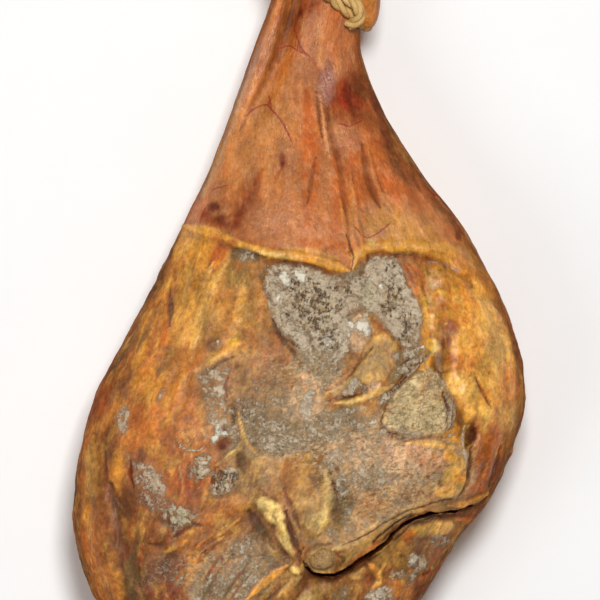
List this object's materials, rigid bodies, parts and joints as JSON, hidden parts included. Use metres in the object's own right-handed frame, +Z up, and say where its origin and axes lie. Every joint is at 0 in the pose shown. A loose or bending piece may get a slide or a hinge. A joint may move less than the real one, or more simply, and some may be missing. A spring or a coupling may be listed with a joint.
{
  "type": "cured ham",
  "caption": "Whole dry-cured ham lying on its rind, flesh side up, with smooth shank skin, mouldy cured flesh, an exposed bone end and a rope tied round the hock.",
  "frame": {"origin": "middle of the flat spot that the ham rests on, on its rind side", "axes": "+Z up, out of the flesh side; +Y along the leg to the cut hock; +X to the right of someone looking down on the flesh with the hock away from them"},
  "size_m": [0.298, 0.531, 0.1405],
  "materials": {
    "ham": "greasy dried flesh, fat and rind with grey mould",
    "bone_end": "matt weathered bone",
    "rope": "laid rope, slightly greasy"
  },
  "bodies": {
    "root": {"ham": "ham", "bone_end": "bone_end", "rope": "rope"}
  },
  "joints": []
}
